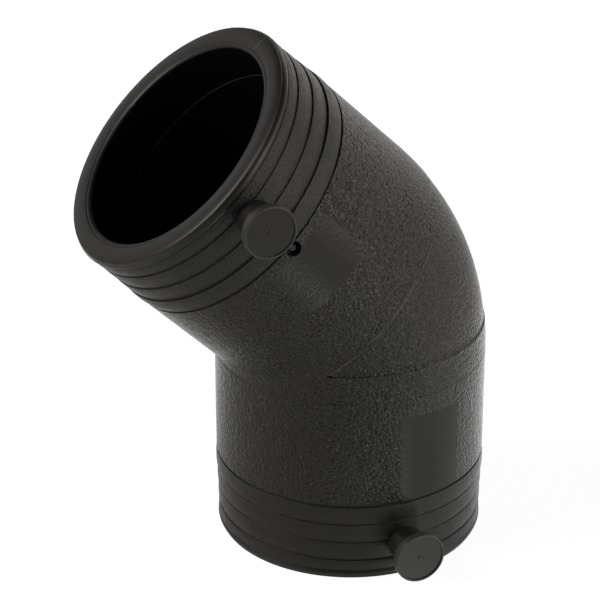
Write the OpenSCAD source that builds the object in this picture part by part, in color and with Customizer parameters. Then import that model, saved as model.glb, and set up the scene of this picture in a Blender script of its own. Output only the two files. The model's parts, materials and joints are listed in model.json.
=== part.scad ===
// Electrofusion elbow, 45 degrees, for 90 mm polyethylene pipe.
// The origin is the centre of the lower mouth. The lower socket rises along +Z,
// the upper one leans towards -X, and both terminals face -Y.

/* [Sockets] */
// Outside diameter of the pipe that goes in
pipe_d = 90; // [88:0.5:91]
// Gap between the pipe and the bore, on the radius
pipe_gap = 0.4; // [0.2:0.05:0.5]
// How far the pipe goes in
socket_depth = 72; // [68:0.5:76]
// Height of the stop that the pipe meets
stop_height = 4; // [2:0.5:5]
// Round on the inner edge of the mouth
bore_edge_r = 0.8; // [0.4:0.1:1.2]

/* [Body] */
// Wall of the sockets
wall = 10.6; // [9.5:0.1:12]
// How far the last band stands proud of the bend
flare_rise = 0.2; // [0.1:0.05:0.5]
// How far the first bands lie below the bend
ring_drop = 0.7; // [0.4:0.1:1.2]
// How far the lip round the mouth lies below the bend
lip_drop = 0.3; // [0.1:0.1:0.6]
// Round on the outer edge of the lip
lip_round = 2.4; // [1.6:0.1:3]
// From the centre of the bend to each mouth
centre_to_mouth = 107.7; // [106:0.1:112]
// Angle between the two sockets
bend_angle = 45; // [40:1:50]
// Radius of the crease on the inside of the bend
crease_r = 7; // [4:0.5:10]
// How far the middle of the bend stands proud of the sockets
middle_step = 0.25; // [0.15:0.05:0.4]
// From the centre of the bend to the edge of its proud middle
middle_reach = 13.4; // [12:0.1:16]

/* [Grooves] */
// Depth of the first full groove from the mouth
groove_start = 9.3; // [8:0.1:10]
// Spacing of the grooves
groove_pitch = 8.45; // [8:0.05:9]
// Number of full grooves on each socket
groove_count = 4; // [3:1:4]
// Width of a groove
groove_w = 1.1; // [0.8:0.1:1.4]
// Depth of a groove
groove_depth = 0.55; // [0.3:0.05:0.8]
// How far the bands between the grooves are crowned
band_crown = 0.25; // [0.1:0.05:0.35]

/* [Heating coils] */
// From the mouth to the first turn
coil_start = 20.6; // [20:0.1:22]
// Diameter of the coated wire
coil_wire_d = 1.5; // [1.2:0.1:1.8]
// Number of turns in each socket
coil_turns = 22; // [20:1:22]
// How far the turns lie below the bore
coil_below_bore = 0.1; // [0.05:0.05:0.3]
// Height of each turn's crest over the fused coating between the turns
coil_ridge = 0.15; // [0.1:0.05:0.4]
// Diameter of the lead and link wires
lead_d = 1.2; // [1:0.1:1.4]
// Wall between the coil and the lead and link wires
lead_cover = 0.6; // [0.4:0.1:0.8]

/* [Terminals] */
// From the mouth to the middle of the terminal
terminal_at = 15.4; // [14.5:0.1:16]
// Outside diameter of the shroud
shroud_d = 14.8; // [14:0.1:16]
// Inside diameter of the shroud
shroud_bore_d = 11.5; // [11:0.1:12]
// Height of the shroud above the body
shroud_h = 11; // [10:0.1:12]
// Depth of the well inside the shroud, below its end
shroud_well = 10; // [9:0.1:12]
// Diameter of the contact pin
pin_d = 4.7; // [4:0.1:4.7]
// How far the pin ends below the end of the shroud
pin_below = 2; // [1:0.1:3]
// Diameter of the pin's moulded-in foot
pin_foot_d = 7.6; // [6.5:0.1:8.4]
// Height of the pin's moulded-in foot
pin_foot_h = 1.8; // [1.2:0.1:2.2]

/* [Caps] */
// Diameter of the cap's disc
cap_d = 21.5; // [19:0.1:22]
// Thickness of the cap's disc at its rim
cap_h = 3.4; // [2.8:0.1:4]
// Width of the raised rim
cap_rim_w = 0.9; // [0.6:0.1:1.4]
// Height of the raised rim over the face
cap_rim_h = 0.5; // [0.2:0.1:0.8]
// Round on the edges of the disc
cap_round = 0.45; // [0.3:0.05:0.45]
// Length of the plug inside the shroud
cap_plug_h = 4.5; // [3:0.1:6]
// Wall of the plug
cap_plug_wall = 1.3; // [1:0.1:1.6]
// Gap between the plug and the shroud, on the radius
cap_gap = 0.08; // [0.05:0.01:0.15]
// Diameter of the gate mark in the middle of the face
gate_d = 1.8; // [1.2:0.1:2.4]
// Height of the gate mark
gate_h = 0.25; // [0.1:0.05:0.4]

/* [Fusion indicator] */
// Diameter of the well round the indicator
well_d = 6.4; // [5.6:0.1:7]
// Depth of the well
well_depth = 4.2; // [3:0.1:5]
// Diameter of the indicator pin
indicator_d = 2.5; // [2:0.1:3]
// How far the indicator pin ends below the surface
indicator_below = 0.9; // [0.5:0.1:2]
// How deep the indicator pin is seated below the floor of the well
indicator_seat = 2; // [1:0.1:3]
// Gap round the indicator pin, on the radius
indicator_gap = 0.05; // [0.03:0.01:0.1]

/* [Hidden] */
$fn = 96;
eps = 0.01;
cut = 1;
// Step on the radius where a socket runs into the bend, and the turn by which they overlap there
joint_step = 0.05;
joint_turn = 1;

bore_r = pipe_d/2 + pipe_gap;
waterway_r = bore_r - stop_height;
body_r = bore_r + wall;
flare_r = body_r + flare_rise;
ring_r = body_r - ring_drop;
lip_r = body_r - lip_drop;
bend_r = body_r + crease_r;
// Length of each socket up to where the bend starts
straight = centre_to_mouth - bend_r*tan(bend_angle/2);
groove_end = groove_start + (groove_count - 1)*groove_pitch;
lip_end = lip_round + groove_w/2;

coil_r = bore_r + coil_below_bore + coil_wire_d/2;
recess_r = coil_r + coil_wire_d/2;
coil_len = coil_turns*coil_wire_d;
lead_r = recess_r + lead_cover + lead_d/2;

shroud_top = body_r + shroud_h;
pin_top = shroud_top - pin_below;
pin_foot_r = lead_r + lead_d/2;
indicator_at = coil_start + coil_len/2;
well_floor = flare_r - well_depth;
indicator_top = flare_r - indicator_below;
indicator_foot = well_floor - indicator_seat;

// Places a piece that is drawn on the lower socket on the upper one
module upper() {
    translate([0, 0, centre_to_mouth])
        rotate([0, -bend_angle, 0])
            translate([0, 0, centre_to_mouth])
                rotate([0, 180, 0])
                    children();
}

// Turns +Z outwards, square to the socket on the terminals' side, at a depth from the mouth
module outwards(depth) {
    translate([0, 0, depth])
        rotate([90, 0, 0])
            children();
}

// Round bar between two radii on the terminals' side
module radial_bar(r, from, to) {
    translate([0, 0, from])
        cylinder(r = r, h = to - from);
}

// Bend with a round section, which runs a little into each socket
module bend(r) {
    translate([-bend_r, 0, straight])
        rotate([90, 0, 0])
            rotate([0, 0, -joint_turn])
                rotate_extrude(angle = bend_angle + 2*joint_turn)
                    translate([bend_r, 0])
                        circle(r = r);
}

// Crowned band between two depths, as a section of its outer face
module band_section(r, from, to) {
    half = (to - from)/2;
    crown_r = (half*half + band_crown*band_crown)/(2*band_crown);
    intersection() {
        translate([r + band_crown - crown_r, from + half])
            circle(r = crown_r, $fn = 360);
        translate([bore_r + stop_height, from])
            square([r + band_crown - bore_r, to - from]);
    }
}

// Lip round the mouth, with its outer edge rounded
module lip_section() {
    translate([0, lip_round])
        square([lip_r, lip_end - lip_round]);
    square([lip_r - lip_round, lip_end]);
    translate([lip_r - lip_round, lip_round])
        circle(r = lip_round);
}

// Outside of one socket, as a section to be turned
module socket_section() {
    groove_floor = ring_r - groove_depth;
    lip_section();
    square([groove_floor, groove_end]);
    polygon([[0, lip_end], [groove_floor, lip_end],
             [flare_r - groove_depth, groove_end + groove_w/2], [0, groove_end + groove_w/2]]);
    band_section(ring_r, lip_end + groove_w, groove_start - groove_w/2);
    for (i = [0 : groove_count - 2]) {
        share = (i + 1)/(groove_count - 1);
        from = groove_start + i*groove_pitch + groove_w/2;
        band_section(ring_r + (flare_r - ring_r)*share*share, from, from + groove_pitch - groove_w);
    }
    polygon([[0, groove_end + groove_w/2], [flare_r, groove_end + groove_w/2],
             [body_r + joint_step, straight], [0, straight]]);
}

// One socket, up to the bend
module socket_outside() {
    rotate_extrude()
        socket_section();
}

// Middle of the bend between two planes square to the sockets, a little proud
module proud_middle() {
    reach = 2*body_r;
    intersection() {
        bend(body_r + middle_step);
        translate([-reach, -reach, centre_to_mouth - middle_reach])
            cube([2*reach, 2*reach, 2*reach]);
        upper()
            translate([-reach, -reach, centre_to_mouth - middle_reach])
                cube([2*reach, 2*reach, 2*reach]);
    }
}

// Round on the inner edge of the mouth, as a section to be taken away
module bore_edge_section() {
    difference() {
        translate([0, -cut])
            square([bore_r + bore_edge_r, cut + bore_edge_r]);
        translate([bore_r + bore_edge_r, bore_edge_r])
            circle(r = bore_edge_r);
    }
}

// Space inside one socket: bore with its rounded edge, recess of the coil and waterway
module socket_inside() {
    rotate_extrude() {
        translate([0, -cut])
            square([bore_r, cut + socket_depth]);
        translate([0, coil_start])
            square([recess_r, coil_len]);
        square([waterway_r + joint_step, straight]);
        bore_edge_section();
    }
}

// The whole way through, from mouth to mouth
module inside() {
    bend(waterway_r);
    socket_inside();
    upper()
        socket_inside();
}

// Shroud of one terminal, which grows out of the wall
module shroud() {
    outwards(terminal_at)
        radial_bar(shroud_d/2, recess_r + lead_d, shroud_top);
}

// Well inside the shroud
module shroud_space() {
    outwards(terminal_at)
        radial_bar(shroud_bore_d/2, shroud_top - shroud_well, shroud_top + cut);
}

// Contact pin with its moulded-in foot
module contact_pin() {
    outwards(terminal_at) {
        radial_bar(pin_d/2, pin_foot_r, pin_top);
        radial_bar(pin_foot_d/2, pin_foot_r, pin_foot_r + pin_foot_h);
    }
}

// Wire from the pin's foot to the first turn of the coil
module lead_wire() {
    first_turn = coil_start + coil_wire_d/2;
    difference() {
        union() {
            outwards(terminal_at)
                radial_bar(lead_d/2, lead_r - lead_d/2, pin_foot_r);
            translate([0, -lead_r, terminal_at])
                cylinder(r = lead_d/2, h = first_turn + lead_d/2 - terminal_at);
            outwards(first_turn)
                radial_bar(lead_d/2, coil_r, lead_r);
        }
        translate([0, 0, coil_start - cut])
            cylinder(r = recess_r, h = coil_len + cut);
    }
}

// Stretch of the link wire from the last turn of one coil to the bend
module link_end() {
    last_turn = coil_start + coil_len - coil_wire_d/2;
    from = last_turn - lead_d/2;
    difference() {
        union() {
            translate([0, -lead_r, from])
                cylinder(r = lead_d/2 + joint_step, h = straight - from);
            outwards(last_turn)
                radial_bar(lead_d/2, coil_r, lead_r);
        }
        translate([0, 0, coil_start])
            cylinder(r = recess_r, h = coil_len);
    }
}

// Wire from coil to coil, in the wall on the terminals' side
module link() {
    link_end();
    upper()
        link_end();
    translate([-bend_r, -lead_r, straight])
        rotate([90, 0, 0])
            rotate([0, 0, -joint_turn/2])
                rotate_extrude(angle = bend_angle + joint_turn)
                    translate([bend_r, 0])
                        circle(r = lead_d/2);
}

// Close turns of coated wire, fused into a sleeve with a low crest for each turn
module coil() {
    translate([0, 0, coil_start])
        rotate_extrude() {
            for (i = [0 : coil_turns - 1])
                translate([coil_r, (i + 0.5)*coil_wire_d])
                    circle(r = coil_wire_d/2, $fn = 32);
            translate([coil_r - coil_wire_d/2 + coil_ridge, 0])
                square([coil_wire_d - coil_ridge, coil_len]);
        }
}

// Well of the fusion indicator and the hole that seats its pin
module indicator_space() {
    outwards(indicator_at) {
        radial_bar(well_d/2, well_floor, flare_r + cut);
        radial_bar(indicator_d/2 + indicator_gap, indicator_foot, well_floor + eps);
    }
}

module indicator() {
    outwards(indicator_at)
        radial_bar(indicator_d/2, indicator_foot, indicator_top);
}

// Cap with a round disc, a raised rim and a plug that sits in the shroud
module cap() {
    face_r = cap_d/2;
    plug_r = shroud_bore_d/2 - cap_gap;
    outwards(terminal_at)
        translate([0, 0, shroud_top])
            rotate_extrude()
                difference() {
                    union() {
                        square([face_r - cap_round, cap_h]);
                        translate([0, cap_round])
                            square([face_r, cap_h - 2*cap_round]);
                        for (edge = [cap_round, cap_h - cap_round])
                            translate([face_r - cap_round, edge])
                                circle(r = cap_round, $fn = 32);
                        translate([plug_r - cap_plug_wall, -cap_plug_h])
                            square([cap_plug_wall, cap_plug_h + eps]);
                    }
                    translate([gate_d/2, cap_h - cap_rim_h])
                        square([face_r - cap_rim_w - gate_d/2, cap_rim_h + cut]);
                    translate([-cut, cap_h - cap_rim_h + gate_h])
                        square([cut + gate_d/2 + eps, cap_rim_h + cut]);
                }
}

module terminal_cuts() {
    shroud_space();
    contact_pin();
    lead_wire();
}

module elbow_body() {
    color([0.03, 0.03, 0.03])
        difference() {
            union() {
                bend(body_r);
                proud_middle();
                socket_outside();
                upper()
                    socket_outside();
                shroud();
                upper()
                    shroud();
            }
            inside();
            link();
            terminal_cuts();
            upper() {
                terminal_cuts();
                indicator_space();
            }
        }
}

module heating_coil_lower() {
    color([0.05, 0.05, 0.05])
        coil();
}

module heating_coil_upper() {
    color([0.05, 0.05, 0.05])
        upper()
            coil();
}

module lead_wire_lower() {
    color([0.72, 0.45, 0.25])
        lead_wire();
}

module lead_wire_upper() {
    color([0.72, 0.45, 0.25])
        upper()
            lead_wire();
}

module link_wire() {
    color([0.72, 0.45, 0.25])
        link();
}

module contact_pin_lower() {
    color([0.78, 0.66, 0.35])
        contact_pin();
}

module contact_pin_upper() {
    color([0.78, 0.66, 0.35])
        upper()
            contact_pin();
}

module terminal_cap_lower() {
    color([0.06, 0.06, 0.06])
        cap();
}

module terminal_cap_upper() {
    color([0.06, 0.06, 0.06])
        upper()
            cap();
}

module fusion_indicator_upper() {
    color([0.06, 0.06, 0.06])
        upper()
            indicator();
}

elbow_body();
heating_coil_lower();
heating_coil_upper();
lead_wire_lower();
lead_wire_upper();
link_wire();
contact_pin_lower();
contact_pin_upper();
terminal_cap_lower();
terminal_cap_upper();
fusion_indicator_upper();
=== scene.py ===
import json
import math

import bpy
import numpy as np
from mathutils import Matrix, Vector

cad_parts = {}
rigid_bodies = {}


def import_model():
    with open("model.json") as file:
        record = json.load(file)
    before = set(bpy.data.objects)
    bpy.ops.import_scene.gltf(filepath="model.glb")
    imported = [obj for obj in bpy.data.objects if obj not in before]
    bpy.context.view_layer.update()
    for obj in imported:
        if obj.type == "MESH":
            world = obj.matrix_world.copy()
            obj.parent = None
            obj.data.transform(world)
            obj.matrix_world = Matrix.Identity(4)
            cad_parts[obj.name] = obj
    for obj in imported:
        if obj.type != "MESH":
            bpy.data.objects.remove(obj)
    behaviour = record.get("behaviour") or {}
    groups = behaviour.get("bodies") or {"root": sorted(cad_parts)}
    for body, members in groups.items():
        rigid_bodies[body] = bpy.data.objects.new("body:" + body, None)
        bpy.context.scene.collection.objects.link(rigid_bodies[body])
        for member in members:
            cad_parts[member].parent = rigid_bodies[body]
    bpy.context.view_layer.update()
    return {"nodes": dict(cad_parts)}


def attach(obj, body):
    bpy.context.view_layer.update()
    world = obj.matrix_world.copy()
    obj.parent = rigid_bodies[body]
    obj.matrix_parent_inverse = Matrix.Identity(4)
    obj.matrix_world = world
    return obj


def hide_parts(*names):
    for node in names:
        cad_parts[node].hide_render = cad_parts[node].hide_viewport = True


# Electrofusion elbow on a pale studio floor. Lengths are in metres, and the lower mouth stands on the floor at the origin.

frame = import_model()
print("frame loaded:", len(frame["nodes"]), "nodes")

# sizes that the looks share with the CAD part
elbow = {
    "centreToMouth": 0.1077,
    "bendAngle": math.radians(45),
    "boreRadius": 0.0454,
    "ringRadius": 0.0553,
    "bodyRadius": 0.056,
    "lastGroove": 0.03465,
    "lipEnd": 0.00295,
    "middleReach": 0.0134,
    "bendRadius": 0.063,
}
elbow["straight"] = elbow["centreToMouth"] - elbow["bendRadius"]*math.tan(elbow["bendAngle"]/2)
bendCentre = Vector((0, 0, elbow["centreToMouth"]))
upperAxis = Vector((-math.sin(elbow["bendAngle"]), 0, math.cos(elbow["bendAngle"])))
upperSide = Vector((math.cos(elbow["bendAngle"]), 0, math.sin(elbow["bendAngle"])))
upperMouth = bendCentre + upperAxis*elbow["centreToMouth"]


# A small kit for node trees
class Graph:
    def __init__(self, tree):
        self.tree = tree

    def node(self, kind, inputs=None, **settings):
        made = self.tree.nodes.new(kind)
        for name, value in settings.items():
            setattr(made, name, value)
        for name, value in (inputs or {}).items():
            socket = made.inputs[name]
            if isinstance(value, bpy.types.NodeSocket):
                self.tree.links.new(value, socket)
            else:
                socket.default_value = value
        return made

    def math(self, operation, a, b=0.0, c=0.0, clamp=False):
        made = self.tree.nodes.new("ShaderNodeMath")
        made.operation = operation
        made.use_clamp = clamp
        for socket, value in zip(made.inputs, (a, b, c)):
            if isinstance(value, bpy.types.NodeSocket):
                self.tree.links.new(value, socket)
            else:
                socket.default_value = value
        return made.outputs[0]

    def vector(self, operation, a, b=(0, 0, 0), scale=1.0):
        made = self.tree.nodes.new("ShaderNodeVectorMath")
        made.operation = operation
        for socket, value in zip(made.inputs[:2], (a, b)):
            if isinstance(value, bpy.types.NodeSocket):
                self.tree.links.new(value, socket)
            else:
                socket.default_value = value
        if operation == "SCALE":
            made.inputs["Scale"].default_value = scale
        return made.outputs["Value"] if operation in ("DOT_PRODUCT", "LENGTH", "DISTANCE") else made.outputs[0]

    def step(self, value, low, high, fromValue=0.0, toValue=1.0):
        made = self.node("ShaderNodeMapRange", {"Value": value, "From Min": low, "From Max": high, "To Min": fromValue, "To Max": toValue},
                         interpolation_type="SMOOTHSTEP")
        return made.outputs["Result"]

    def mixValue(self, share, a, b):
        made = self.tree.nodes.new("ShaderNodeMix")
        made.data_type = "FLOAT"
        for socket, value in zip((made.inputs[0], made.inputs[2], made.inputs[3]), (share, a, b)):
            if isinstance(value, bpy.types.NodeSocket):
                self.tree.links.new(value, socket)
            else:
                socket.default_value = value
        return made.outputs[0]

    def mixColour(self, share, a, b):
        made = self.tree.nodes.new("ShaderNodeMix")
        made.data_type = "RGBA"
        for socket, value in zip((made.inputs[0], made.inputs[6], made.inputs[7]), (share, a, b)):
            if isinstance(value, bpy.types.NodeSocket):
                self.tree.links.new(value, socket)
            else:
                socket.default_value = value
        return made.outputs[2]

    def noise(self, vector, scale, detail=2.0, roughness=0.5, distortion=0.0):
        return self.node("ShaderNodeTexNoise", {"Vector": vector, "Scale": scale, "Detail": detail, "Roughness": roughness, "Distortion": distortion}).outputs["Fac"]


def newMaterial(name):
    material = bpy.data.materials.new(name)
    material.use_nodes = True
    material.node_tree.nodes.clear()
    return material, Graph(material.node_tree)


def grey(value):
    return (value, value, value, 1.0)


# Materials
mouldedBlack = {
    "darkTone": 0.0145,
    "paleTone": 0.019,
    "roughGrain": 0.27,
    "roughBand": 0.37,
    "roughSmooth": 0.33,
    "roughDrift": 0.08,
    "bandDrift": 0.34,
    "grainSize": 1.35,        # millimetres, as all the lengths below
    "grainHeight": 0.58,
    "fineHeight": 0.12,
    "bandSize": 1.0,
    "lowerBandHeight": 0.26,
    "upperBandHeight": 0.5,
    "rimHeight": 0.035,
    "rimCrown": 0.45,
    "seamDepth": 0.12,
    "swellReach": 4.0,
    "dropReach": 0.8,
    "lowerSwell": 0.3,
    "upperSwell": 0.3,
    # painted highlight: pale stretches along the edges of the drops
    "edgeHighlightScale": 0.07,
    "edgeHighlightTone": 0.085,
    # painted shade: the dark tone of the bore
    "boreShadeTone": 0.004,
    "boreRough": 0.7,
    "boreDull": 0.85,
    # painted highlight: a pale ring in the bore
    "boreLineAt": 20.4,
    "boreLineHighlightTone": 0.3,
    "edgeRound": 0.0003,
    # bare smooth panels: depth from the mouth, and angle round the socket from the terminal's side
    "upperPanel": {"from": 39.0, "to": 65.0, "left": -16.0, "right": 18.6, "strength": 0.87},
    "lowerPanel": {"from": 34.0, "to": 73.0, "left": -2.5, "right": 27.0, "strength": 0.92},
}


def panelMask(g, depth, angle, panel):
    soft = 0.5
    along = g.math("MULTIPLY", g.step(depth, panel["from"] - soft, panel["from"] + soft), g.step(depth, panel["to"] + soft, panel["to"] - soft))
    across = g.math("MULTIPLY", g.step(angle, panel["left"] - soft, panel["left"] + soft), g.step(angle, panel["right"] + soft, panel["right"] - soft))
    return g.math("MULTIPLY", g.math("MULTIPLY", along, across), panel["strength"])


def mouldedBodyMaterial(look):
    material, g = newMaterial("mouldedBlackBody")
    place = g.node("ShaderNodeTexCoord").outputs["Object"]
    mm = g.vector("SCALE", place, scale=1000.0)
    # depth from the nearer mouth, distance from that socket's axis and angle round it
    spot = g.node("ShaderNodeSeparateXYZ", {"Vector": mm})
    lowerDepth = spot.outputs["Z"]
    fromUpper = g.vector("SUBTRACT", mm, tuple(upperMouth*1000))
    upperDepth = g.vector("DOT_PRODUCT", fromUpper, tuple(-upperAxis))
    sideways = g.vector("DOT_PRODUCT", fromUpper, tuple(upperSide))
    towardsFront = g.math("MULTIPLY", spot.outputs["Y"], -1.0)
    lowerRadius = g.math("SQRT", g.math("ADD", g.math("POWER", spot.outputs["X"], 2.0), g.math("POWER", spot.outputs["Y"], 2.0)))
    upperRadius = g.math("SQRT", g.math("ADD", g.math("POWER", sideways, 2.0), g.math("POWER", spot.outputs["Y"], 2.0)))
    lowerAngle = g.math("DEGREES", g.math("ARCTAN2", spot.outputs["X"], towardsFront))
    upperAngle = g.math("DEGREES", g.math("ARCTAN2", sideways, towardsFront))
    nearUpper = g.math("LESS_THAN", upperDepth, lowerDepth)
    depth = g.math("MINIMUM", lowerDepth, upperDepth)
    radius = g.mixValue(nearUpper, lowerRadius, upperRadius)
    # in the bend the distance is taken from its own curved axis
    bendRadius = elbow["bendRadius"]*1000
    straight = elbow["straight"]*1000
    inBend = g.math("GREATER_THAN", depth, straight)
    fromPivot = g.math("SQRT", g.math("ADD", g.math("POWER", g.math("ADD", spot.outputs["X"], bendRadius), 2.0), g.math("POWER", g.math("SUBTRACT", spot.outputs["Z"], straight), 2.0)))
    offAxis = g.math("SUBTRACT", fromPivot, bendRadius)
    curved = g.math("SQRT", g.math("ADD", g.math("POWER", offAxis, 2.0), g.math("POWER", spot.outputs["Y"], 2.0)))
    radius = g.mixValue(inBend, radius, curved)

    outside = g.step(radius, 50.5, 52.5)
    beyondGrooves = g.step(depth, elbow["lastGroove"]*1000 + 0.4, elbow["lastGroove"]*1000 + 1.2)
    beyondLip = g.step(depth, 3.2, 4.2)
    upperPanel = g.math("MULTIPLY", nearUpper, panelMask(g, upperDepth, upperAngle, look["upperPanel"]))
    lowerPanel = g.math("MULTIPLY", g.math("SUBTRACT", 1.0, nearUpper), panelMask(g, lowerDepth, lowerAngle, look["lowerPanel"]))
    panel = g.math("MULTIPLY", outside, g.math("MAXIMUM", upperPanel, lowerPanel))

    # leather grain: rounded cells of uneven size that run together, with finer pits in them
    cell = 1.0/look["grainSize"]
    wander = g.node("ShaderNodeTexNoise", {"Vector": mm, "Scale": cell*0.8, "Detail": 1.0})
    drift = g.vector("SCALE", g.vector("SUBTRACT", wander.outputs["Color"], (0.5, 0.5, 0.5)), scale=look["grainSize"]*1.6)
    cells = g.node("ShaderNodeTexVoronoi", {"Vector": g.vector("ADD", mm, drift), "Scale": cell, "Smoothness": 0.12, "Randomness": 1.0}, feature="SMOOTH_F1")
    fine = g.noise(mm, cell*2.2, detail=2.0)
    cellHeight = g.math("MULTIPLY", g.math("SUBTRACT", 1.0, cells.outputs["Distance"]), look["grainHeight"])
    grain = g.math("ADD", cellHeight, g.math("MULTIPLY", fine, look["fineHeight"]))
    bandGrain = g.math("MULTIPLY", g.noise(mm, 1.0/look["bandSize"], detail=3.0, roughness=0.6), g.mixValue(nearUpper, look["lowerBandHeight"], look["upperBandHeight"]))
    rimGrain = g.math("MULTIPLY", g.noise(mm, 0.9/look["bandSize"], detail=2.0), look["rimHeight"])

    leather = g.math("MULTIPLY", g.math("MULTIPLY", outside, beyondGrooves), g.math("SUBTRACT", 1.0, panel))
    banded = g.math("MULTIPLY", outside, g.math("MULTIPLY", beyondLip, g.math("SUBTRACT", 1.0, beyondGrooves)))
    plain = g.math("SUBTRACT", 1.0, g.math("MAXIMUM", leather, banded))
    surface = g.math("ADD", g.math("MULTIPLY", grain, leather), g.math("MULTIPLY", bandGrain, banded))
    surface = g.math("ADD", surface, g.math("MULTIPLY", rimGrain, g.math("MULTIPLY", plain, g.math("SUBTRACT", 1.0, panel))))
    # the grained skin stands a little over the panels
    surface = g.math("ADD", surface, g.math("MULTIPLY", panel, look["grainHeight"]*0.5))
    # the sockets swell a little before they drop to the bend's middle
    jointAt = 1000*(elbow["centreToMouth"] - elbow["middleReach"])
    swell = g.math("MULTIPLY", g.step(depth, jointAt - look["swellReach"], jointAt), g.step(depth, jointAt + look["dropReach"], jointAt))
    surface = g.math("ADD", surface, g.math("MULTIPLY", swell, g.mixValue(nearUpper, look["lowerSwell"], look["upperSwell"])))
    # crowned mouth face with the seam of the mould across it
    face = g.step(depth, 2.6, 1.2)
    middleRadius = 500.0*(elbow["boreRadius"] + elbow["ringRadius"])
    halfWidth = 500.0*(elbow["ringRadius"] - elbow["boreRadius"])
    across = g.math("POWER", g.math("ABSOLUTE", g.math("DIVIDE", g.math("SUBTRACT", radius, middleRadius), halfWidth)), 2.4)
    crown = g.math("MULTIPLY", g.math("SUBTRACT", 1.0, across), look["rimCrown"])
    groove = g.math("MULTIPLY", g.step(g.math("ABSOLUTE", g.math("SUBTRACT", radius, middleRadius - 0.62*halfWidth)), 0.5, 0.0), 0.22)
    outerSide = g.math("GREATER_THAN", g.mixValue(nearUpper, spot.outputs["X"], sideways), 0.0)
    seam = g.math("MULTIPLY", g.math("MULTIPLY", g.step(g.math("ABSOLUTE", spot.outputs["Y"]), 0.4, 0.0), outerSide), look["seamDepth"])
    surface = g.math("ADD", surface, g.math("MULTIPLY", face, g.math("SUBTRACT", crown, g.math("ADD", groove, seam))))
    metres = g.math("MULTIPLY", surface, 0.001)
    bevel = g.node("ShaderNodeBevel", {"Radius": look["edgeRound"]}, samples=6)
    bump = g.node("ShaderNodeBump", {"Height": metres, "Strength": 1.0, "Distance": 1.0, "Normal": bevel.outputs["Normal"]})

    cloud = g.noise(mm, 0.035, detail=2.0)
    tone = g.mixColour(cloud, grey(look["darkTone"]), grey(look["paleTone"]))
    # painted shade: the bore is painted much darker than the rest of the body
    bore = g.math("MULTIPLY", g.step(radius, 47.0, 46.2), g.step(depth, 0.6, 1.6))
    # painted highlight: a pale ring painted round the bore where the coil turns begin
    line = g.step(g.math("ABSOLUTE", g.math("SUBTRACT", depth, look["boreLineAt"])), 0.2, 0.08)
    tone = g.mixColour(bore, tone, g.mixColour(line, grey(look["boreShadeTone"]), grey(look["boreLineHighlightTone"])))
    # painted highlight: pale stretches are painted along the edges of both drops, on the lower drop only on its
    # right-hand side, where the light falls
    stretch = g.step(g.noise(mm, look["edgeHighlightScale"], detail=1.0), 0.40, 0.52)
    paintedEdgeHighlight = g.math("MULTIPLY", g.math("MULTIPLY", g.step(g.math("ABSOLUTE", g.math("SUBTRACT", depth, jointAt)), 0.55, 0.25), stretch), outside)
    paintedEdgeHighlight = g.math("MULTIPLY", paintedEdgeHighlight, g.math("MAXIMUM", nearUpper, g.step(lowerAngle, 6.0, 12.0)))
    tone = g.mixColour(paintedEdgeHighlight, tone, grey(look["edgeHighlightTone"]))
    roughness = g.mixValue(leather, g.mixValue(banded, look["roughSmooth"], look["roughBand"]), look["roughGrain"])
    roughness = g.mixValue(bore, roughness, look["boreRough"])
    roughness = g.math("ADD", roughness, g.math("MULTIPLY", g.math("SUBTRACT", g.noise(mm, 0.25, detail=3.0), 0.5), g.mixValue(banded, look["roughDrift"], look["bandDrift"])))
    shader = g.node("ShaderNodeBsdfPrincipled", {"Base Color": tone, "Roughness": roughness, "Normal": bump.outputs["Normal"], "IOR": 1.5})
    # the bore shows next to no shine
    dull = g.node("ShaderNodeBsdfDiffuse", {"Color": tone, "Normal": bump.outputs["Normal"]})
    mixed = g.node("ShaderNodeMixShader", {0: g.math("MULTIPLY", bore, look["boreDull"]), 1: shader.outputs[0], 2: dull.outputs[0]})
    g.node("ShaderNodeOutputMaterial", {"Surface": mixed.outputs[0]})
    return material


# the pale tone of the disc rims is a painted highlight
capPlastic = {"upperTone": 0.02, "lowerTone": 0.020, "roughness": 0.3, "ripple": 0.00002, "edgeRound": 0.0002,
              "rimFrom": 9.7, "rimHighlightTone": 0.05, "discFrom": 67.4, "terminalAt": 15.4}


def capMaterial(name, plainTone, look):
    material, g = newMaterial(name)
    mm = g.vector("SCALE", g.node("ShaderNodeTexCoord").outputs["Object"], scale=1000.0)
    bevel = g.node("ShaderNodeBevel", {"Radius": look["edgeRound"]}, samples=6)
    bump = g.node("ShaderNodeBump", {"Height": g.math("MULTIPLY", g.noise(mm, 0.5, detail=3.0), look["ripple"]), "Strength": 1.0, "Distance": 1.0,
                                     "Normal": bevel.outputs["Normal"]})
    tone = g.mixColour(g.noise(mm, 0.2), grey(plainTone*0.85), grey(plainTone*1.15))
    # painted highlight: the rims of the discs are painted paler, a ring of light on their rounded edges
    lower, upper = Vector((0, 0, look["terminalAt"])), upperMouth*1000 - upperAxis*look["terminalAt"]
    flat = g.vector("MULTIPLY", mm, (1.0, 0.0, 1.0))
    away = g.math("MINIMUM", g.vector("DISTANCE", flat, tuple(lower)), g.vector("DISTANCE", flat, tuple(upper)))
    front = g.math("LESS_THAN", g.node("ShaderNodeSeparateXYZ", {"Vector": mm}).outputs["Y"], -look["discFrom"])
    rim = g.math("MULTIPLY", g.step(away, look["rimFrom"], look["rimFrom"] + 0.3), front)
    tone = g.mixColour(rim, tone, grey(look["rimHighlightTone"]))
    roughness = g.math("ADD", look["roughness"], g.math("MULTIPLY", g.noise(mm, 1.2, detail=4.0), 0.08))
    shader = g.node("ShaderNodeBsdfPrincipled", {"Base Color": tone, "Roughness": roughness, "Normal": bump.outputs["Normal"], "IOR": 1.5})
    g.node("ShaderNodeOutputMaterial", {"Surface": shader.outputs[0]})
    return material


# painted shade: the crests are painted darker than the body, as the shade deep in the bore
shadedCoilCoating = {"tone": 0.003, "roughness": 0.8, "shine": 0.12}


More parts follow.
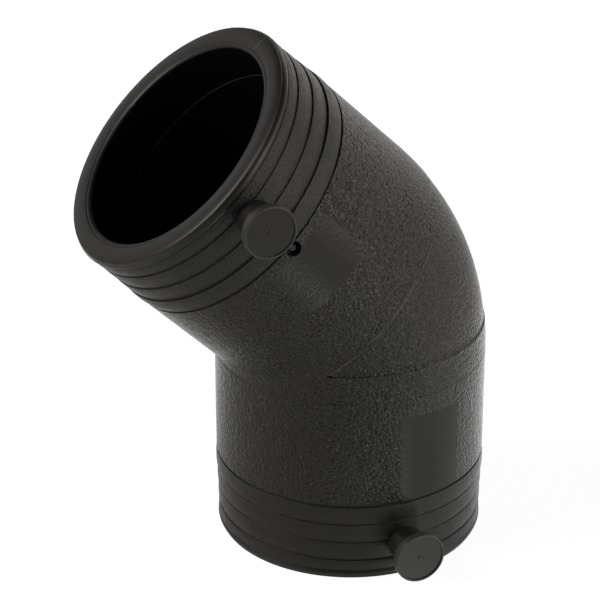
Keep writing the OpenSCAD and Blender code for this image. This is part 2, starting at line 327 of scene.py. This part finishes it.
def coilMaterial(look):
    material, g = newMaterial("shadedBlackCoilCrests")
    mm = g.vector("SCALE", g.node("ShaderNodeTexCoord").outputs["Object"], scale=1000.0)
    bump = g.node("ShaderNodeBump", {"Height": g.math("MULTIPLY", g.noise(mm, 1.5), 0.00002), "Strength": 1.0, "Distance": 1.0})
    tone = g.mixColour(g.noise(mm, 0.3), grey(look["tone"]*0.8), grey(look["tone"]*1.2))
    inputs = {"Base Color": tone, "Roughness": look["roughness"], "Normal": bump.outputs["Normal"], "Specular IOR Level": look["shine"]}
    g.node("ShaderNodeOutputMaterial", {"Surface": g.node("ShaderNodeBsdfPrincipled", inputs).outputs[0]})
    return material


metals = {"brassTone": (0.78, 0.60, 0.28, 1.0), "copperTone": (0.72, 0.38, 0.22, 1.0), "roughness": 0.3}


def metalMaterial(name, tone, look):
    material, g = newMaterial(name)
    mm = g.vector("SCALE", g.node("ShaderNodeTexCoord").outputs["Object"], scale=1000.0)
    rings = g.noise(g.vector("MULTIPLY", mm, (1.0, 14.0, 1.0)), 0.6, detail=3.0)
    bump = g.node("ShaderNodeBump", {"Height": g.math("MULTIPLY", rings, 0.00001), "Strength": 1.0, "Distance": 1.0})
    colour = g.mixColour(g.noise(mm, 0.8, detail=3.0), tone, tuple(v*0.75 for v in tone[:3]) + (1.0,))
    roughness = g.math("ADD", look["roughness"] - 0.05, g.math("MULTIPLY", rings, 0.12))
    shader = g.node("ShaderNodeBsdfPrincipled", {"Base Color": colour, "Metallic": 1.0, "Roughness": roughness, "Normal": bump.outputs["Normal"]})
    g.node("ShaderNodeOutputMaterial", {"Surface": shader.outputs[0]})
    return material


bodyLook = mouldedBodyMaterial(mouldedBlack)
capLook = capMaterial("satinBlackCap", capPlastic["upperTone"], capPlastic)
lowerCapLook = capMaterial("satinBlackLowerCap", capPlastic["lowerTone"], capPlastic)
coilLook = coilMaterial(shadedCoilCoating)
brassLook = metalMaterial("turnedBrass", metals["brassTone"], metals)
copperLook = metalMaterial("drawnCopper", metals["copperTone"], metals)

finishes = {
    "elbow_body": bodyLook,
    "terminal_cap_upper": capLook,
    "terminal_cap_lower": lowerCapLook,
    "fusion_indicator": capLook,
    "heating_coil": coilLook,
    "contact_pin": brassLook,
    "lead_wire": copperLook,
    "link_wire": copperLook,
}
for nodeName, nodeObject in frame["nodes"].items():
    for start, finish in finishes.items():
        if nodeName.startswith(start):
            nodeObject.data.materials.clear()
            nodeObject.data.materials.append(finish)
print("materials on the CAD nodes")


# Moulded body: the CAD body with the slight flare and the sunk middle that the mould gives it
skin = {
    "flareFrom": 0.0352,
    "lowerFlare": 0.00035,
    "upperFlare": 0.00024,
    "middleFall": 0.00025,
    "crown": 0.00045,
    "crownPower": 2.4,
    "crownRings": 10,
    "faceInner": 0.0462,
    "faceOuter": 0.05475,
    "lipDepth": 0.003,
}


def smooth(value):
    value = np.clip(value, 0.0, 1.0)
    return value*value*(3 - 2*value)


def zipped(inner, outer, innerTurns, outerTurns):
    # triangles between two closed rings of points with different counts, both in order of their angle
    innerCount, outerCount = len(inner), len(outer)
    triangles, i, j = [], 0, 0
    while i < innerCount or j < outerCount:
        nextInner = innerTurns[(i + 1) % innerCount] + (2*math.pi if i + 1 >= innerCount else 0)
        nextOuter = outerTurns[(j + 1) % outerCount] + (2*math.pi if j + 1 >= outerCount else 0)
        if j >= outerCount or (i < innerCount and nextInner <= nextOuter):
            triangles.append((inner[i % innerCount], outer[j % outerCount], inner[(i + 1) % innerCount]))
            i += 1
        else:
            triangles.append((inner[i % innerCount], outer[j % outerCount], outer[(j + 1) % outerCount]))
            j += 1
    return np.array(triangles)


def crownedMouth(place, faces, normals, mouth, outwards, look):
    middle = (elbow["boreRadius"] + elbow["ringRadius"])/2
    halfWidth = (elbow["ringRadius"] - elbow["boreRadius"])/2

    def fall(radius):
        return look["crown"]*(np.abs(radius - middle)/halfWidth)**look["crownPower"]

    def slope(radius):
        away = (radius - middle)/halfWidth
        return look["crown"]*look["crownPower"]/halfWidth*np.sign(away)*np.abs(away)**(look["crownPower"] - 1)

    depth = (mouth - place) @ outwards
    radial = place - mouth + depth[:, None]*outwards
    radius = np.linalg.norm(radial, axis=1)
    radial = radial/np.maximum(radius, 1e-9)[:, None]
    near = (depth < look["lipDepth"]) & (radius < 0.0565) & (radius > 0.0452)
    flat = near & (depth < 2e-6) & (radius > look["faceInner"] - 2e-5) & (radius < look["faceOuter"] + 2e-5)
    rings = [np.flatnonzero(flat & (np.abs(radius - level) < 2e-5)) for level in (look["faceInner"], look["faceOuter"])]
    print("mouth face:", len(rings[0]), "and", len(rings[1]), "points")
    # corner normals lean with the crown
    corners = faces.ravel()
    lean = np.where(near[corners], slope(radius[corners])*np.maximum(normals @ outwards, 0), 0.0)
    normals = normals + radial[corners]*lean[:, None]
    faceNormals = normals.reshape(-1, 3, 3)
    kept = ~flat[faces].all(axis=1)
    place = place - outwards*(np.where(near, fall(radius)*(1 - depth/look["lipDepth"]), 0.0))[:, None]
    faces, faceNormals = faces[kept], faceNormals[kept]
    # new rings of points between the two edges of the face
    sideways = np.array([0.0, 1.0, 0.0])
    ahead = np.cross(outwards, sideways)
    turn = np.arctan2(radial @ ahead, radial @ sideways)
    rings = [ring[np.argsort(turn[ring])] for ring in rings]
    turns = [turn[ring] for ring in rings]
    count = len(rings[0])
    levels = np.linspace(0, 1, look["crownRings"] + 1)[1:-1]
    grid = [rings[0]]
    for level in levels:
        far = look["faceInner"]*(1 - level) + look["faceOuter"]*level
        grid.append(np.arange(count) + len(place))
        place = np.vstack([place, mouth + radial[rings[0]]*far - outwards*fall(far)])
    added = []
    for inner, outer in zip(grid, grid[1:]):
        nextInner, nextOuter = np.roll(inner, -1), np.roll(outer, -1)
        added += [np.stack([inner, outer, nextOuter], axis=1), np.stack([inner, nextOuter, nextInner], axis=1)]
    added.append(zipped(grid[-1], rings[1], turns[0], turns[1]))
    added = np.vstack(added)
    first = place[added[0]]
    if np.cross(first[1] - first[0], first[2] - first[0]) @ outwards < 0:
        added = added[:, ::-1]
    at = place[added.ravel()]
    away = (at - mouth) - ((at - mouth) @ outwards)[:, None]*outwards
    far = np.linalg.norm(away, axis=1)
    addedNormals = outwards + away/far[:, None]*slope(far)[:, None]
    return place, np.vstack([faces, added]), np.vstack([faceNormals.reshape(-1, 3), addedNormals])


def elbowSkin(look):
    source = frame["nodes"]["elbow_body"].data
    mesh = source
    place = np.empty(len(mesh.vertices)*3)
    mesh.vertices.foreach_get("co", place)
    place = place.reshape(-1, 3)
    straight, bendRadius = elbow["straight"], elbow["bendRadius"]
    upperDepth = (np.array(upperMouth) - place) @ np.array(upperAxis)
    lowerDepth = place[:, 2]
    turn = np.clip(np.arctan2(lowerDepth - straight, place[:, 0] + bendRadius), 0.0, elbow["bendAngle"])
    inUpper = upperDepth < straight
    inLower = ~inUpper & (lowerDepth < straight)
    # centre of the section that each point belongs to
    centre = np.stack([bendRadius*(np.cos(turn) - 1), np.zeros(len(place)), straight + bendRadius*np.sin(turn)], axis=1)
    centre[inLower] = np.stack([np.zeros(inLower.sum()), np.zeros(inLower.sum()), lowerDepth[inLower]], axis=1)
    centre[inUpper] = np.array(upperMouth) - upperDepth[inUpper, None]*np.array(upperAxis)
    outwards = place - centre
    radius = np.linalg.norm(outwards, axis=1)
    share = smooth(turn/elbow["bendAngle"])
    offset = look["lowerFlare"]*(1 - share) + look["upperFlare"]*share
    reach = straight - look["flareFrom"]
    offset[inLower] = look["lowerFlare"]*np.clip((lowerDepth[inLower] - look["flareFrom"])/reach, 0, 1)
    offset[inUpper] = look["upperFlare"]*np.clip((upperDepth[inUpper] - look["flareFrom"])/reach, 0, 1)
    middle = ~inLower & ~inUpper & (radius > elbow["bodyRadius"] + 0.00012)
    offset[middle] = -look["middleFall"]
    offset[(radius < 0.0545) | (radius > 0.0572)] = 0.0
    moved = place + outwards/np.maximum(radius, 1e-9)[:, None]*offset[:, None]
    # the step faces of the middle now look the other way
    normals = np.empty(len(mesh.loops)*3)
    mesh.corner_normals.foreach_get("vector", normals)
    normals = normals.reshape(-1, 3)
    level = elbow["centreToMouth"] - elbow["middleReach"]
    onStep = (radius > 0.0545) & ((np.abs(lowerDepth - level) < 2e-6) | (np.abs(upperDepth - level) < 2e-6))
    for face in mesh.polygons:
        if all(onStep[corner] for corner in face.vertices):
            normals[face.loop_start:face.loop_start + face.loop_total] *= -1
    # points that lie on each other become one, and faces without an area go
    unique, index = np.unique(moved.round(7), axis=0, return_inverse=True)
    index = index.ravel()
    firstOf = np.full(len(unique), -1)
    firstOf[index[::-1]] = np.arange(len(moved))[::-1]
    points = moved[firstOf]
    corners = np.empty(len(mesh.loops), dtype=int)
    mesh.loops.foreach_get("vertex_index", corners)
    faces = index[corners].reshape(-1, 3)
    whole = (faces[:, 0] != faces[:, 1]) & (faces[:, 1] != faces[:, 2]) & (faces[:, 2] != faces[:, 0])
    faces, normals = faces[whole], normals.reshape(-1, 3, 3)[whole].reshape(-1, 3)
    points, faces, normals = crownedMouth(points, faces, normals, np.zeros(3), np.array([0.0, 0.0, -1.0]), look)
    points, faces, normals = crownedMouth(points, faces, normals, np.array(upperMouth), np.array(upperAxis), look)
    normals = normals/np.linalg.norm(normals, axis=1)[:, None]
    mesh = bpy.data.meshes.new("mouldedElbow")
    mesh.from_pydata(points.tolist(), [], faces.tolist())
    mesh.shade_smooth()
    mesh.materials.append(bodyLook)
    mesh.normals_split_custom_set(normals.tolist())
    body = bpy.data.objects.new("mouldedElbow", mesh)
    bpy.context.scene.collection.objects.link(body)
    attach(body, "root")
    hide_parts("elbow_body")
    print("moulded body:", len(mesh.polygons), "faces,", int(middle.sum()), "points in the middle")
    return body


elbowSkin(skin)


# Heating coils: low crests of the coated wire, lying turn beside turn in each socket
coil = {
    "turns": 22,
    "wireWidth": 0.0015,
    "crestRadius": 0.0455,
    "crestHeight": 0.00016,
    "start": 0.0206,
    "ringPoints": 112,
    "profilePoints": 10,
}


def coilTree():
    tree = bpy.data.node_groups.new("coilTurns", "GeometryNodeTree")
    tree.interface.new_socket("Geometry", in_out="OUTPUT", socket_type="NodeSocketGeometry")
    for name, kind in (("Turns", "Int"), ("Wire Width", "Float"), ("Crest Radius", "Float"), ("Crest Height", "Float"), ("First Turn", "Vector"),
                       ("Turn Step", "Vector"), ("Tilt", "Rotation"), ("Ring Points", "Int"), ("Profile Points", "Int"), ("Coating", "Material")):
        tree.interface.new_socket(name, in_out="INPUT", socket_type="NodeSocket" + kind)
    g = Graph(tree)
    given = g.node("NodeGroupInput").outputs
    halfWidth = g.math("MULTIPLY", given["Wire Width"], 0.505)
    ring = g.node("GeometryNodeCurvePrimitiveCircle", {"Resolution": given["Ring Points"], "Radius": g.math("ADD", given["Crest Radius"], given["Crest Height"])})
    round = g.node("GeometryNodeCurvePrimitiveCircle", {"Resolution": given["Profile Points"], "Radius": 1.0})
    size = g.node("ShaderNodeCombineXYZ", {"X": given["Crest Height"], "Y": halfWidth, "Z": 1.0})
    profile = g.node("GeometryNodeTransform", {"Geometry": round.outputs[0], "Scale": size.outputs[0]})
    turn = g.node("GeometryNodeCurveToMesh", {"Curve": ring.outputs[0], "Profile Curve": profile.outputs[0]})
    smoothed = g.node("GeometryNodeSetShadeSmooth", {"Geometry": turn.outputs[0]})
    places = g.node("GeometryNodeMeshLine", {"Count": given["Turns"], "Start Location": given["First Turn"], "Offset": given["Turn Step"]})
    inputs = {"Points": places.outputs[0], "Instance": smoothed.outputs[0], "Rotation": given["Tilt"]}
    turns = g.node("GeometryNodeInstanceOnPoints", inputs)
    real = g.node("GeometryNodeRealizeInstances", {"Geometry": turns.outputs[0]})
    coated = g.node("GeometryNodeSetMaterial", {"Geometry": real.outputs[0], "Material": given["Coating"]})
    g.node("NodeGroupOutput", {"Geometry": coated.outputs[0]})
    return tree


def coilPiece(name, nodeName, tree, look, mouth, inwards, tilt):
    base = bpy.data.objects.new(name + "Base", bpy.data.meshes.new(name + "Base"))
    bpy.context.scene.collection.objects.link(base)
    modifier = base.modifiers.new("coilTurns", "NODES")
    modifier.node_group = tree
    values = {
        "Turns": look["turns"],
        "Wire Width": look["wireWidth"],
        "Crest Radius": look["crestRadius"],
        "Crest Height": look["crestHeight"],
        "First Turn": tuple(mouth + inwards*(look["start"] + look["wireWidth"]/2)),
        "Turn Step": tuple(inwards*look["wireWidth"]),
        "Tilt": (0.0, tilt, 0.0),
        "Ring Points": look["ringPoints"],
        "Profile Points": look["profilePoints"],
        "Coating": coilLook,
    }
    for socket in tree.interface.items_tree:
        if socket.in_out == "INPUT":
            modifier[socket.identifier] = values[socket.name]
    bpy.context.view_layer.update()
    mesh = bpy.data.meshes.new_from_object(base.evaluated_get(bpy.context.evaluated_depsgraph_get()))
    mesh.name = name
    base.modifiers.clear()
    bpy.data.objects.remove(base)
    piece = bpy.data.objects.new(name, mesh)
    bpy.context.scene.collection.objects.link(piece)
    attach(piece, "root")
    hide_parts(nodeName)
    corners = np.array([vertex.co for vertex in mesh.vertices])
    print(name, len(mesh.polygons), "faces from", corners.min(axis=0).round(5), "to", corners.max(axis=0).round(5))


turnsTree = coilTree()
coilPiece("coilTurnsLower", "heating_coil_lower", turnsTree, coil, Vector((0, 0, 0)), Vector((0, 0, 1)), 0.0)
coilPiece("coilTurnsUpper", "heating_coil_upper", turnsTree, coil, upperMouth, -upperAxis, -elbow["bendAngle"])


# Floor, background and light: azimuths are in degrees, 0 towards the front and 90 towards the right
studio = {
    "floorReach": 6.0,
    "floorTone": 0.8,
    "shownFloor": 0.25,
    "shownGlow": 0.94,
    "glowColour": (1.03, 1.0, 0.955, 1.0),
    # soft glows round the studio: azimuth, elevation, half width and strength
    "wallGlows": [
        (30, 12, 26, 2.6),
        (60, 12, 26, 1.6),
        (120, 12, 26, 1.1),
        (210, 12, 26, 0.4),
        (260, 38, 26, 5.0),
        (90, 12, 26, 0.3),
        (150, 12, 26, 0.3),
        (180, 12, 26, 0.3),
    ],
    # pools of light on the floor: azimuth, distance, radius and strength
    "floorPools": [
        (175, 0.42, 0.42, 2.2),
        (135, 0.14, 0.22, 1.9),
        (140, 1.8, 1.6, 1.0),
        (270, 0.45, 0.35, 0.55),
        (55, 0.30, 0.35, 0.3),
    ],
    # low lamp in front, whose light the floor lets through to the piece
    "lowLamp": {"azimuth": 22.3, "elevation": -41.0, "distance": 1.0, "aimHeight": 0.09, "size": 0.08, "power": 0.45},
}


def heading(azimuth, elevation=0.0):
    turn, rise = math.radians(azimuth), math.radians(elevation)
    return (math.sin(turn)*math.cos(rise), -math.cos(turn)*math.cos(rise), math.sin(rise))


def studioFloor(look):
    reach = look["floorReach"]
    mesh = bpy.data.meshes.new("studioFloor")
    mesh.from_pydata([(-reach, -reach, 0), (reach, -reach, 0), (reach, reach, 0), (-reach, reach, 0)], [], [(0, 1, 2, 3)])
    floor = bpy.data.objects.new("studioFloor", mesh)
    bpy.context.scene.collection.objects.link(floor)
    material, g = newMaterial("paleFloor")
    path = g.node("ShaderNodeLightPath")
    shown = g.math("MAXIMUM", path.outputs["Is Camera Ray"], path.outputs["Is Transmission Ray"])
    place = g.node("ShaderNodeTexCoord").outputs["Object"]
    pools = 0.0
    for azimuth, distance, radius, strength in look["floorPools"]:
        centre = tuple(part*distance for part in heading(azimuth))
        away = g.vector("DISTANCE", place, centre)
        pools = g.math("ADD", pools, g.step(away, radius, 0.0, 0.0, strength))
    lit = g.node("ShaderNodeEmission", {"Color": grey(1.0), "Strength": pools})
    plain = g.node("ShaderNodeBsdfDiffuse", {"Color": grey(look["floorTone"])})
    real = g.node("ShaderNodeAddShader", {0: plain.outputs[0], 1: lit.outputs[0]})
    pale = g.node("ShaderNodeBsdfDiffuse", {"Color": grey(look["shownFloor"])})
    glow = g.node("ShaderNodeEmission", {"Color": grey(1.0), "Strength": look["shownGlow"]})
    bright = g.node("ShaderNodeAddShader", {0: pale.outputs[0], 1: glow.outputs[0]})
    mix = g.node("ShaderNodeMixShader", {0: shown, 1: real.outputs[0], 2: bright.outputs[0]})
    g.node("ShaderNodeOutputMaterial", {"Surface": mix.outputs[0]})
    floor.data.materials.append(material)


def studioWorld(look):
    world = bpy.data.worlds.new("paleStudio")
    bpy.context.scene.world = world
    world.use_nodes = True
    world.node_tree.nodes.clear()
    g = Graph(world.node_tree)
    path = g.node("ShaderNodeLightPath")
    direction = g.node("ShaderNodeTexCoord").outputs["Generated"]
    strength = 0.0
    for azimuth, elevation, halfWidth, power in look["wallGlows"]:
        facing = g.vector("DOT_PRODUCT", direction, heading(azimuth, elevation))
        spread = math.cos(math.radians(halfWidth))
        strength = g.math("ADD", strength, g.step(facing, spread, 1.0, 0.0, power))
    seen = g.math("MAXIMUM", path.outputs["Is Camera Ray"], path.outputs["Is Transmission Ray"])
    final = g.mixValue(seen, strength, 1.0)
    background = g.node("ShaderNodeBackground", {"Color": g.mixColour(seen, look["glowColour"], grey(1.0)), "Strength": final})
    g.node("ShaderNodeOutputWorld", {"Surface": background.outputs[0]})


def studioLowLamp(look):
    data = bpy.data.lights.new("lowLamp", "AREA")
    data.shape, data.size, data.energy = "DISK", look["size"], look["power"]
    away = Vector(heading(look["azimuth"], look["elevation"]))
    lamp = bpy.data.objects.new("lowLamp", data)
    lamp.matrix_world = Matrix.Translation(Vector((0, 0, look["aimHeight"])) + away*look["distance"]) @ away.to_track_quat("Z", "Y").to_matrix().to_4x4()
    bpy.context.scene.collection.objects.link(lamp)
    blockers = bpy.data.collections.new("lowLampBlockers")
    for thing in bpy.context.scene.objects:
        if thing.type == "MESH" and thing.name != "studioFloor":
            blockers.objects.link(thing)
    lamp.light_linking.blocker_collection = blockers


studioFloor(studio)
studioWorld(studio)
studioLowLamp(studio["lowLamp"])
print("floor and world ready")


# Camera
shot = {"azimuth": -23.617, "elevation": 26.204, "distance": 1.1439, "lens": 164.93, "aimRight": -0.02083, "aimUp": 0.01502, "aimHeight": 0.084}


def studioCamera(look):
    azimuth, elevation = math.radians(look["azimuth"]), math.radians(look["elevation"])
    right = Vector((math.cos(azimuth), math.sin(azimuth), 0))
    back = Vector((math.sin(azimuth)*math.cos(elevation), -math.cos(azimuth)*math.cos(elevation), math.sin(elevation)))
    up = back.cross(right)
    aim = Vector((0, 0, look["aimHeight"])) + right*look["aimRight"] + up*look["aimUp"]
    data = bpy.data.cameras.new("studioCamera")
    data.lens, data.sensor_width = look["lens"], 36.0
    data.clip_start, data.clip_end = 0.05, 50.0
    camera = bpy.data.objects.new("studioCamera", data)
    camera.matrix_world = Matrix.Translation(aim + back*look["distance"]) @ Matrix((right, up, back)).transposed().to_4x4()
    bpy.context.scene.collection.objects.link(camera)
    bpy.context.scene.camera = camera


studioCamera(shot)
bpy.context.scene.view_settings.view_transform = "Standard"
print("camera set")
